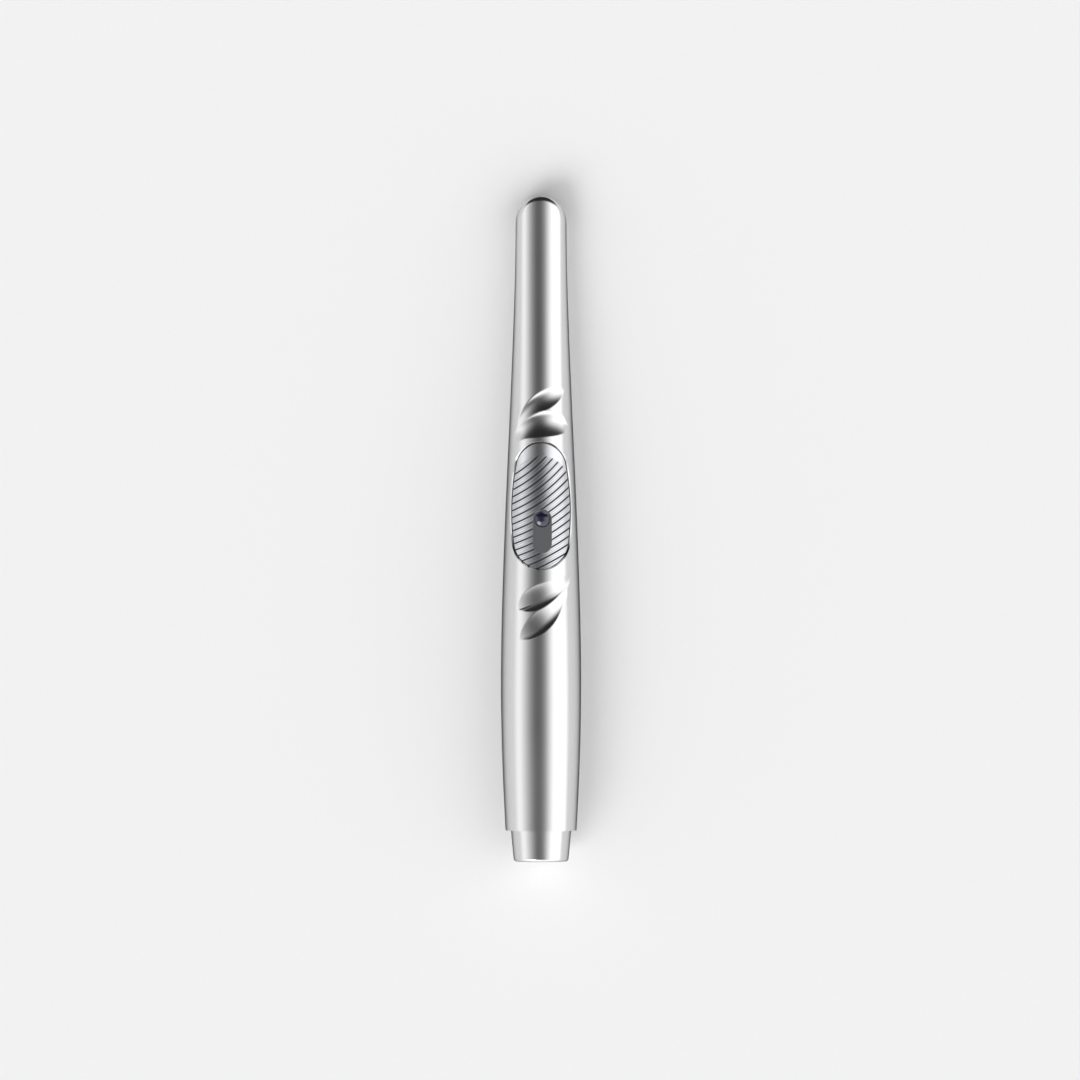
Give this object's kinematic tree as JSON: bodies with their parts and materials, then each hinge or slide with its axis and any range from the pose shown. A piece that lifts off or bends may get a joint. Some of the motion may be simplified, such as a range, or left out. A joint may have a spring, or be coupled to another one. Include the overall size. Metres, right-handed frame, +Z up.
{
  "type": "intraoral camera",
  "caption": "Slim silver hand-piece with a round head window, a ribbed capture key and a tapered tail with a cable inlet.",
  "frame": {"origin": "on the surface the camera lies on, under the middle of its box", "axes": "+Y along the barrel towards the head, +X to the right seen from the key side, +Z up, out of the key side"},
  "size_m": [0.0242, 0.2, 0.0206],
  "materials": {
    "satin_silver": "satin plated, soft reflections",
    "key_silver": "satin plated, ribbed",
    "smoked_lens": "smoked clear plastic",
    "black_rubber": "matt",
    "socket_steel": "folded and polished",
    "black_plastic": "fine matt",
    "dark_metal": "black anodised",
    "clear_glass": "polished and coated",
    "filter_glass": "coated",
    "board_green": "solder mask",
    "led_white": "ceramic with clear resin",
    "sensor_dark": "glass covered silicon",
    "flex_amber": "polyimide film",
    "connector_beige": "moulded",
    "chip_black": "moulded",
    "chip_tan": "fired ceramic",
    "screw_steel": "zinc plated",
    "plunger_white": "moulded"
  },
  "bodies": {
    "housing": {"back_shell": "satin_silver", "board_screws": "screw_steel", "crystal": "socket_steel", "flex_cable": "flex_amber", "front_lens": "clear_glass", "front_shell": "satin_silver", "image_sensor": "sensor_dark", "ir_filter": "filter_glass", "led_board": "board_green", "leds": "led_white", "lens_baffle": "black_rubber", "lens_barrel": "dark_metal", "lens_holder": "black_plastic", "lens_window": "clear_glass", "link_flex": "flex_amber", "main_board": "board_green", "main_connector": "connector_beige", "memory_chip": "chip_black", "passives": "chip_tan", "processor": "chip_black", "rear_lens": "clear_glass", "sensor_board": "board_green", "sensor_connector": "connector_beige", "status_led": "led_white", "switch_body": "black_plastic", "tail_cap": "satin_silver", "tail_gasket": "black_rubber", "usb_socket": "socket_steel", "usb_tongue": "black_plastic", "window_bezel": "dark_metal", "window_gasket": "black_rubber"},
    "key": {"capture_key": "key_silver", "status_lamp_lens": "smoked_lens", "switch_plunger": "plunger_white"}
  },
  "joints": [
    {"name": "capture_push", "type": "slide", "parent": "housing", "child": "key", "axis": [0, 0, -1], "range_m": [0, 0.0005], "stiffness_N_per_m": 3000}
  ]
}
